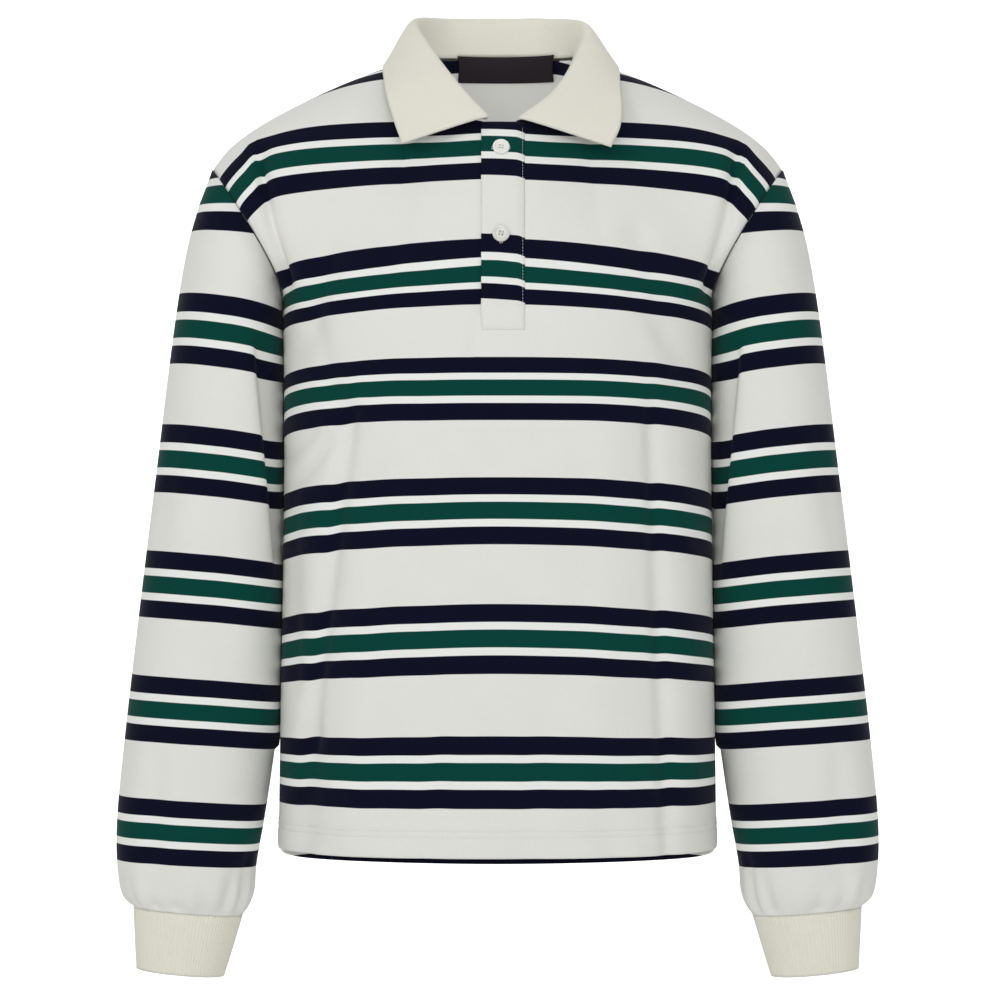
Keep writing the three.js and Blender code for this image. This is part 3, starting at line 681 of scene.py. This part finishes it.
def knitGroup():
    group, start, end = newGroup("knitSurface", [
        ("Place", "NodeSocketVector", None),
        ("Wales", "NodeSocketFloat", 900.0),
        ("Courses", "NodeSocketFloat", 700.0),
        ("Nap Scale", "NodeSocketFloat", 420.0),
        ("Nap", "NodeSocketFloat", 0.5),
    ], [("Height", "NodeSocketFloat"), ("Tone", "NodeSocketFloat")])
    split = addNode(group, "ShaderNodeSeparateXYZ", (-700, 200))
    group.links.new(start.outputs["Place"], split.inputs[0])
    across = mathNode(group, "MULTIPLY", (-520, 300), split.outputs[0], start.outputs["Wales"])
    along = mathNode(group, "MULTIPLY", (-520, 120), split.outputs[1], start.outputs["Courses"])
    wale = mathNode(group, "PINGPONG", (-360, 300), across, 0.5)
    slanted = mathNode(group, "ADD", (-360, 120), along, wale)
    loop = mathNode(group, "PINGPONG", (-200, 120), slanted, 0.5)
    loops = mathNode(group, "MULTIPLY", (-60, 200), mathNode(group, "SQRT", (-120, 300), wale), loop)
    nap = addNode(group, "ShaderNodeTexNoise", (-360, -120))
    nap.inputs["Detail"].default_value = 3.0
    nap.inputs["Roughness"].default_value = 0.6
    group.links.new(start.outputs["Place"], nap.inputs["Vector"])
    group.links.new(start.outputs["Nap Scale"], nap.inputs["Scale"])
    napped = mathNode(group, "MULTIPLY", (-100, -120), nap.outputs["Fac"], start.outputs["Nap"])
    group.links.new(mathNode(group, "ADD", (300, 100), loops, napped), end.inputs["Height"])
    mottle = addNode(group, "ShaderNodeTexNoise", (-360, -380))
    mottle.inputs["Scale"].default_value = 26.0
    mottle.inputs["Detail"].default_value = 5.0
    group.links.new(start.outputs["Place"], mottle.inputs["Vector"])
    broad = mathNode(group, "MULTIPLY", (-150, -380), mottle.outputs["Fac"], 0.5)
    fine = mathNode(group, "MULTIPLY", (-150, -240), nap.outputs["Fac"], 0.5)
    mixed = mathNode(group, "ADD", (-60, -300), broad, fine)
    group.links.new(mixed, end.inputs["Tone"])
    return group


def mixColour(tree, place, factor, first, second, blend="MIX"):
    node = addNode(tree, "ShaderNodeMix", place, data_type="RGBA", blend_type=blend)
    for socket, value in ((node.inputs[0], factor), (node.inputs[6], first), (node.inputs[7], second)):
        if isinstance(value, (int, float)):
            socket.default_value = value
        elif isinstance(value, tuple):
            socket.default_value = (*value, 1)
        else:
            tree.links.new(value, socket)
    return node.outputs[2]


def fromScreen(red, green, blue):
    def linear(value):
        value /= 255
        return value / 12.92 if value <= 0.04045 else ((value + 0.055) / 1.055) ** 2.4
    return (linear(red), linear(green), linear(blue))


def clothMaterial(name, settings, stripes=None, knit=None):
    material = bpy.data.materials.new(name)
    material.use_nodes = True
    tree = material.node_tree
    shader = tree.nodes["Principled BSDF"]
    shader.inputs["Roughness"].default_value = settings["roughness"]
    shader.inputs["Sheen Weight"].default_value = settings["sheen"]
    shader.inputs["Sheen Roughness"].default_value = 0.45
    shader.inputs["Specular IOR Level"].default_value = 0.1
    clothMap = addNode(tree, "ShaderNodeUVMap", (-1300, -100), uv_map="cloth")
    surface = addNode(tree, "ShaderNodeGroup", (-1000, -100), node_tree=knit)
    surface.inputs["Wales"].default_value = settings["wales"]
    surface.inputs["Courses"].default_value = settings["courses"]
    surface.inputs["Nap"].default_value = settings["nap"]
    tree.links.new(clothMap.outputs[0], surface.inputs["Place"])
    ground = settings["ground"]
    tone = addNode(tree, "ShaderNodeMapRange", (-700, -200))
    tone.inputs["From Min"].default_value = 0.3
    tone.inputs["From Max"].default_value = 0.7
    tone.inputs["To Min"].default_value = 1 - settings["mottle"]
    tone.inputs["To Max"].default_value = 1 + settings["mottle"]
    tree.links.new(surface.outputs["Tone"], tone.inputs["Value"])
    colour = ground
    if stripes:
        stripeMap = addNode(tree, "ShaderNodeUVMap", (-1300, 300), uv_map="stripes")
        bands = addNode(tree, "ShaderNodeGroup", (-1000, 300), node_tree=stripes)
        tree.links.new(stripeMap.outputs[0], bands.inputs["Place"])
        colour = mixColour(tree, (-700, 500), bands.outputs["Inside"], ground, settings["gapWhite"])
        colour = mixColour(tree, (-520, 500), bands.outputs["Green"], colour, settings["green"])
        colour = mixColour(tree, (-340, 500), bands.outputs["Navy"], colour, settings["navy"])
    shade = addNode(tree, "ShaderNodeCombineColor", (-520, -200))
    for index in range(3):
        tree.links.new(tone.outputs[0], shade.inputs[index])
    colour = mixColour(tree, (-160, 300), 1.0, colour, shade.outputs[0], "MULTIPLY")
    tree.links.new(colour, shader.inputs["Base Color"])
    bump = addNode(tree, "ShaderNodeBump", (-300, -300))
    bump.inputs["Strength"].default_value = settings["bump"]
    bump.inputs["Distance"].default_value = settings["bumpDistance"]
    tree.links.new(surface.outputs["Height"], bump.inputs["Height"])
    tree.links.new(bump.outputs[0], shader.inputs["Normal"])
    return material


print("materials")
stripeBands = stripeBandsGroup()
knitSurface = knitGroup()
jersey = {
    "ground": fromScreen(232, 232, 227),
    "gapWhite": fromScreen(240, 242, 238),
    "green": fromScreen(0, 65, 57),
    "navy": fromScreen(8, 11, 34),
    "roughness": 0.88,
    "sheen": 0.04,
    "wales": 950.0,
    "courses": 760.0,
    "nap": 0.55,
    "mottle": 0.02,
    "bump": 0.35,
    "bumpDistance": 0.0004,
}
ribKnit = dict(jersey, ground=fromScreen(233, 231, 218), wales=420.0, courses=600.0, nap=0.35, bump=0.4)
collarKnit = dict(ribKnit, wales=700.0, courses=520.0, bump=0.45, mottle=0.025)
labelCloth = dict(jersey, ground=fromScreen(44, 38, 44), wales=2200.0, courses=2200.0, nap=0.2,
                  roughness=0.6)
jerseyMaterial = clothMaterial("stripedJersey", jersey, stripeBands, knitSurface)
ribMaterial = clothMaterial("ecruRib", ribKnit, None, knitSurface)
collarMaterial = clothMaterial("ecruCollar", collarKnit, None, knitSurface)
labelMaterial = clothMaterial("plumLabel", labelCloth, None, knitSurface)

print("front and back")
frontPoints = creasePanel(wholePanel(-1), frontFolds)
backPoints = creasePanel(wholePanel(1), backFolds)
frontPhase = bodyPhase(frontPoints, frontFolds[4:])
backPhase = bodyPhase(backPoints, backFolds[4:])
sleevePoints = sleeveGrid(frontPoints, backPoints)
frontGrooved = doubleHem(seamGroove(frontPoints, ["left", "right"]))
backGrooved = doubleHem(seamGroove(backPoints, ["left", "right"]))
front = makeSheet("frontPanel", frontGrooved, frontPhase, hole=slit)
dress(front, jerseyMaterial, "front")
back = makeSheet("backPanel", backGrooved, backPhase)
dress(back, jerseyMaterial, "back")

print("sleeves")
ringTurns = np.arange(sleevePoints.shape[1]) / sleevePoints.shape[1]
rightPhase = sleevePhase(sleevePoints[:, :, 2], ringTurns[None, :])
sleeveRight = makeSheet("sleeveRight", sleevePoints, rightPhase, closed=True)
dress(sleeveRight, jerseyMaterial, "sleeve_right")
sleeveLeft = makeSheet("sleeveLeft", mirrored(sleevePoints), rightPhase[:, ::-1], closed=True)
dress(sleeveLeft, jerseyMaterial, "sleeve_left")


def cuffGrid():
    count = cuff["ribs"] * cuff["pointsPerRib"]
    angles = np.arange(count) / count * 2 * math.pi
    top = dict(sleeveSections[0])
    top["innerZ"] -= 0.2
    top["outerZ"] -= 0.2
    shares = np.linspace(0, 1, cuff["rows"])
    rings = np.array([sleeveRing(rowAt([cuffBottom, top], share), angles) for share in shares])
    ribs = cuff["ribDepth"] * np.cos(np.arange(count) / cuff["pointsPerRib"] * 2 * math.pi)
    soft = 0.7 * np.sin(angles * 5 + 1) + 0.5 * np.sin(angles * 9)
    share = shares[:, None]
    move = ribs[None, :] - cuff["ribDepth"] + soft[None, :] * share * (1 - share)
    return rings + gridNormals(rings, closed=True) * move[:, :, None]


print("cuffs")
cuffPoints = cuffGrid()
cuffRight = makeSheet("cuffRight", cuffPoints, closed=True, wall=cuff["wall"])
dress(cuffRight, ribMaterial, "cuff_right")
cuffLeft = makeSheet("cuffLeft", mirrored(cuffPoints), closed=True, wall=cuff["wall"])
dress(cuffLeft, ribMaterial, "cuff_left")


def collarGrid():
    curves = {side: resample(neckCurve(side), np.linspace(0, 1, neckSteps + 1)) for side in (-1, 1)}
    stations = []
    for share in np.linspace(1, -1, collar["columns"] + 1):
        reach, sign = abs(share), -1 if share < 0 else 1
        station = rowAt(collarLeft if sign < 0 else collarRight, reach)
        seamReach = reach * (collar["leftEnd"] if sign < 0 else collar["rightEnd"])
        if seamReach < collar["backShare"]:
            seam = curves[1][round(seamReach / collar["backShare"] * neckSteps)].copy()
        else:
            place = 1 - (seamReach - collar["backShare"]) / collar["frontShare"]
            seam = curves[-1][round(place * neckSteps)].copy()
        seam[0] *= sign
        inward = np.array([seam[0], seam[1], 0])
        seam = seam + [0, 0, collar["lift"]] - inward / np.linalg.norm(inward) * collar["inset"]
        fold = np.array([sign * station["foldX"], station["foldY"], station["foldZ"]])
        edge = np.array([sign * station["edgeX"], station["edgeY"], station["edgeZ"]])
        outward = (edge - seam) * [1, 1, 0]
        outward = outward / np.linalg.norm(outward) * collar["roll"]
        rise = np.array([0, 0, (fold[2] - seam[2]) * collar["standPull"]])
        standShares = np.arange(collar["standRows"]) / collar["standRows"]
        fallShares = np.linspace(0, 1, collar["fallRows"] + 1)
        points = [hermite(seam, rise, fold, outward, t) for t in standShares]
        fall, hang = outward * collar["fallPull"], (edge - fold) * collar["edgePull"]
        points += [hermite(fold, fall, edge, hang, t) for t in fallShares]
        stations.append(points)
    return np.array(stations).transpose(1, 0, 2).copy()


print("collar")
collarPoints = collarGrid()
collarPiece = makeSheet("collarPiece", collarPoints, wall=collar["wall"])
dress(collarPiece, collarMaterial, "collar")

print("placket")
stripXs = np.linspace(placket["left"], placket["right"], placket["columns"])
stripZs = np.linspace(placket["bottom"], placket["top"], placket["rows"])
stripBase = patch(frontPoints, stripXs, stripZs)
stripRise = np.array([[np.interp(z, [-230, -80], [5.2, 2.2]) * np.interp(x, [-13, 17, 22], [1, 0.6, 0.25])
                       for x in stripXs] for z in stripZs])
stripPhase = np.array([[placeOn(frontPoints, frontPhase, x, z - rise) for x, rise in zip(stripXs, rises)]
                       for z, rises in zip(stripZs, stripRise)])
sewn = np.maximum(smooth(14, 22, stripXs)[None, :] * 0.85, 1 - smooth(-232, -217, stripZs)[:, None])
lift = (placket["gap"] + placket["wall"]) * (1 - sewn) + placket["sewnLift"] * sewn
overPoints = stripBase + gridNormals(stripBase) * lift[:, :, None]
overPiece = makeSheet("placketOver", overPoints, stripPhase, wall=placket["wall"])
dress(overPiece, jerseyMaterial, "placket_over")
underPoints = stripBase - gridNormals(stripBase) * (placket["gap"] + placket["wall"])
underPiece = makeSheet("placketUnder", underPoints, stripPhase, wall=placket["wall"])
dress(underPiece, jerseyMaterial, "placket_under")

print("label")
backInside = backPoints - gridNormals(backPoints) * (body["wall"] + 0.3)
seamLine = neckCurve(1)


def labelColumn(x):
    y = np.interp(x if x > 0 else -x, seamLine[:, 0], seamLine[:, 1])
    inward = -np.array([x, y, 0]) / math.hypot(x, y) * label["inset"]
    top = np.array([x, y, 0]) + inward + [0, 0, label["top"]]
    bottomY = placeOn(backInside, backInside[:, :, 1], top[0], label["bottom"])
    bottom = np.array([top[0], bottomY, label["bottom"]])
    shares = np.linspace(0, 1, label["rows"])[:, None]
    bulge = 4 * shares * (1 - shares) * label["bulge"] / label["inset"]
    return bottom + (top - bottom) * shares + inward * bulge


labelXs = np.linspace(label["right"], label["left"], label["columns"])
labelPoints = np.array([labelColumn(x) for x in labelXs]).transpose(1, 0, 2).copy()
labelPiece = makeSheet("neckLabel", labelPoints, wall=label["wall"])
dress(labelPiece, labelMaterial, "label")


def buttonMaterial(name, low, high):
    material = bpy.data.materials.new(name)
    material.use_nodes = True
    tree = material.node_tree
    shader = tree.nodes["Principled BSDF"]
    shader.inputs["Roughness"].default_value = 0.26
    shader.inputs["Coat Weight"].default_value = 0.35
    shader.inputs["Coat Roughness"].default_value = 0.15
    place = addNode(tree, "ShaderNodeTexCoord", (-900, 0))
    cloud = addNode(tree, "ShaderNodeTexNoise", (-700, 0))
    cloud.inputs["Scale"].default_value = 170.0
    cloud.inputs["Distortion"].default_value = 1.4
    tree.links.new(place.outputs["Object"], cloud.inputs["Vector"])
    tree.links.new(mixColour(tree, (-300, 0), cloud.outputs["Fac"], low, high), shader.inputs["Base Color"])
    return material


def cameraAndLight():
    camera = bpy.data.objects.new("camera", bpy.data.cameras.new("camera"))
    bpy.context.collection.objects.link(camera)
    view = {"place": (0.002, -3.0, -0.368), "lens": 130, "sensor": 36}
    camera.location = view["place"]
    camera.rotation_euler = (math.radians(90), 0, 0)
    camera.data.lens = view["lens"]
    camera.data.sensor_width = view["sensor"]
    bpy.context.scene.camera = camera
    lamps = [
        {"name": "keyLight", "place": (-1.7, -2.4, 1.2), "size": 1.1, "power": 15.5},
        {"name": "fillLight", "place": (2.0, -2.4, 0.4), "size": 2.2, "power": 4.5},
        {"name": "frontLight", "place": (0.1, -3.3, 0.25), "size": 0.9, "power": 16.5},
        {"name": "neckLight", "place": (0.0, -1.5, 0.75), "size": 0.6, "power": 2.2},
        {"name": "topLight", "place": (0.0, 0.6, 2.2), "size": 2.0, "power": 8},
    ]
    for lampRow in lamps:
        name, place, size, power = lampRow.values()
        light = bpy.data.lights.new(name, "AREA")
        light.size = size
        light.energy = power
        lamp = bpy.data.objects.new(name, light)
        bpy.context.collection.objects.link(lamp)
        lamp.location = place
        aim = np.array([0, 0, -0.35]) - np.array(place)
        lamp.rotation_euler = Vector(aim).to_track_quat("-Z", "Y").to_euler()
    inside = bpy.data.lights.new("insideLight", "AREA")
    inside.size = 0.07
    inside.energy = 0.045
    lamp = bpy.data.objects.new("insideLight", inside)
    bpy.context.collection.objects.link(lamp)
    lamp.location = (0, -0.045, -0.095)
    lamp.rotation_euler = Vector((0, 0.1, 0.07)).to_track_quat("-Z", "Y").to_euler()
    world = bpy.data.worlds.new("studio")
    bpy.context.scene.world = world
    world.use_nodes = True
    world.node_tree.nodes["Background"].inputs[0].default_value = (1, 1, 1, 1)
    world.node_tree.nodes["Background"].inputs[1].default_value = 0.45
    bpy.context.scene.view_settings.view_transform = "Standard"


def studioFloor():
    material = bpy.data.materials.new("paleFloor")
    material.use_nodes = True
    tree = material.node_tree
    shader = tree.nodes["Principled BSDF"]
    shader.inputs["Base Color"].default_value = (0.94, 0.94, 0.93, 1)
    shader.inputs["Roughness"].default_value = 0.9
    shader.inputs["Emission Color"].default_value = (1, 1, 1, 1)
    place = addNode(tree, "ShaderNodeTexCoord", (-900, 0))
    split = addNode(tree, "ShaderNodeSeparateXYZ", (-700, 0))
    glow = addNode(tree, "ShaderNodeMapRange", (-500, 0), interpolation_type="SMOOTHSTEP")
    for socketName, value in (("From Min", 0.6), ("From Max", 1.5), ("To Min", 0.0), ("To Max", 0.75)):
        glow.inputs[socketName].default_value = value
    tree.links.new(place.outputs["Object"], split.inputs[0])
    tree.links.new(split.outputs[1], glow.inputs["Value"])
    tree.links.new(glow.outputs[0], shader.inputs["Emission Strength"])
    shape = bmesh.new()
    bmesh.ops.create_grid(shape, x_segments=2, y_segments=40, size=1)
    for vert in shape.verts:
        share = (vert.co.y + 1) / 2
        sweep = max(share - 0.55, 0) / 0.45
        backward = -5 + 8 * min(share / 0.55, 1) + 1.6 * math.sin(sweep * math.pi / 2)
        vert.co = (vert.co.x * 6, backward, -1.0 + 5 * sweep ** 2)
    mesh = bpy.data.meshes.new("studioFloor")
    shape.to_mesh(mesh)
    shape.free()
    floor = bpy.data.objects.new("studioFloor", mesh)
    bpy.context.collection.objects.link(floor)
    for face in mesh.polygons:
        face.use_smooth = True
    mesh.materials.append(material)


print("buttons")
buttonTones = {
    "button_top": buttonMaterial("buttonPearl", fromScreen(232, 232, 226), fromScreen(247, 247, 244)),
    "button_second": buttonMaterial("buttonCream", fromScreen(214, 214, 207), fromScreen(226, 226, 220)),
}
for node, tone in buttonTones.items():
    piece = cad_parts[node]
    piece.data.materials.clear()
    piece.data.materials.append(tone)
    bevel = piece.modifiers.new("rim", "BEVEL")
    bevel.width = button["bevel"] * mm
    bevel.segments = 2
    bevel.limit_method = "ANGLE"
    bevel.angle_limit = math.radians(40)
    for face in piece.data.polygons:
        face.use_smooth = False

print("stitches")
creamThread = threadMaterial("creamThread", fromScreen(228, 227, 219))
darkThread = threadMaterial("darkThread", fromScreen(52, 46, 54))
sewnRows = {"front": [], "back": []}
for sideName, grid in (("front", frontGrooved), ("back", backGrooved)):
    normals = gridNormals(grid)
    inset = slice(1, grid.shape[1] - 1)
    for up in hem["rows"]:
        line = lineAtRow(grid, up)
        facing = np.array([[np.interp(up, alongRows(grid)[:, c], normals[:, c, axis]) for axis in range(3)]
                           for c in range(0, grid.shape[1], 10)])
        sewnRows[sideName].append((line[inset], facing))
sewnPiece("hemStitchesFront", sewnRows["front"], creamThread, "striped_jersey")
sewnPiece("hemStitchesBack", sewnRows["back"], creamThread, "striped_jersey")

overNormals = gridNormals(overPoints)


def onPlacket(x, z):
    point = np.array([x, placeOn(overPoints, overPoints[:, :, 1], x, z), z])
    facing = np.array([placeOn(overPoints, overNormals[:, :, axis], x, z) for axis in range(3)])
    return point, facing


def placketLine(ends, count=40):
    places = [onPlacket(*place) for place in np.linspace(ends[0], ends[1], count)]
    return [place[0] for place in places], [place[1] for place in places]


sewLeft, sewRight = placketSewing["left"], placketSewing["right"]
sewBottom, sewBoxTop = placketSewing["bottom"], placketSewing["boxTop"]
placketRows = [
    placketLine(((sewRight, placketSewing["top"]), (sewRight, sewBottom))),
    placketLine(((sewLeft, sewBottom), (sewRight, sewBottom))),
    placketLine(((sewLeft, sewBoxTop), (sewRight, sewBoxTop))),
    placketLine(((sewLeft, sewBoxTop), (sewLeft, sewBottom))),
]
sewnPiece("placketStitches", placketRows, creamThread, "striped_jersey", pitch=2.7, length=2.0, thick=0.18)

holeRows = []
for number, height in enumerate(button["heights"]):
    reach = button["slotHalf"]
    for offset in (-0.75, 0.75):
        if number == 0:
            ends = ((button["x"] - reach, height + offset), (button["x"] + reach, height + offset))
        else:
            ends = ((button["x"] + offset, height - reach), (button["x"] + offset, height + reach))
        holeRows.append(placketLine(ends, 12))
sewnPiece("buttonholes", holeRows, creamThread, "striped_jersey", pitch=0.42, length=1.25, thick=0.2,
          slant=1.45)

crossRows = []
for height in button["heights"]:
    point, facing = onPlacket(button["x"], height)
    face = point + facing * button["faceLift"]
    across = np.array([1.0, 0, 0]) - facing * facing[0]
    upward = np.cross(facing, across)
    upward *= np.sign(upward[2])
    for sign in (-1, 1):
        start = face + across * sign * button["holeAt"] - upward * button["holeAt"]
        end = face + across * sign * button["holeAt"] + upward * button["holeAt"]
        crossRows.append(([start, (start + end) / 2 + facing * 0.25, end], [facing] * 3))
sewnPiece("buttonThread", crossRows, creamThread, "white_button", pitch=1.4, length=1.9,
          thick=button["thread"])

labelNormals = gridNormals(labelPoints)
labelRows = []
for column in (2, -3):
    labelRows.append((labelPoints[:, column], labelNormals[:, column]))
labelRows.append((labelPoints[-2], labelNormals[-2]))
sewnPiece("labelStitches", labelRows, darkThread, "plum_label", pitch=2.4, length=1.8, thick=0.18)

print("camera and light")
cameraAndLight()
studioFloor()
